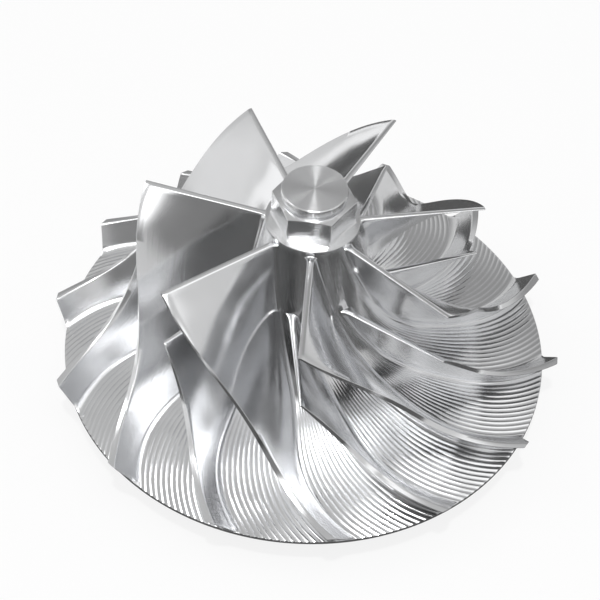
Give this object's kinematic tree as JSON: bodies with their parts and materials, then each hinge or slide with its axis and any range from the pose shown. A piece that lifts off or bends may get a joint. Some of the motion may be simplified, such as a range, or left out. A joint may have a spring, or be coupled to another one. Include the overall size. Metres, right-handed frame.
{
  "type": "compressor wheel",
  "caption": "One-piece milled compressor wheel with full blades and splitters, a hexagon nose and a blind threaded bore, for a turbocharger shaft.",
  "frame": {"origin": "centre of the rear seat's face, on the wheel's axis, at the lowest point of the part", "axes": "+Z along the wheel's axis from the rear seat towards the nose, +X to the right in the picture's view, which looks along +Y and down"},
  "size_m": [0.1018, 0.1012, 0.0535],
  "materials": {
    "milled_aluminium": "bright milled aluminium, polished blade flanks, fine tool grooves on the hub floor"
  },
  "bodies": {
    "root": {"compressor_wheel": "milled_aluminium"}
  },
  "joints": []
}
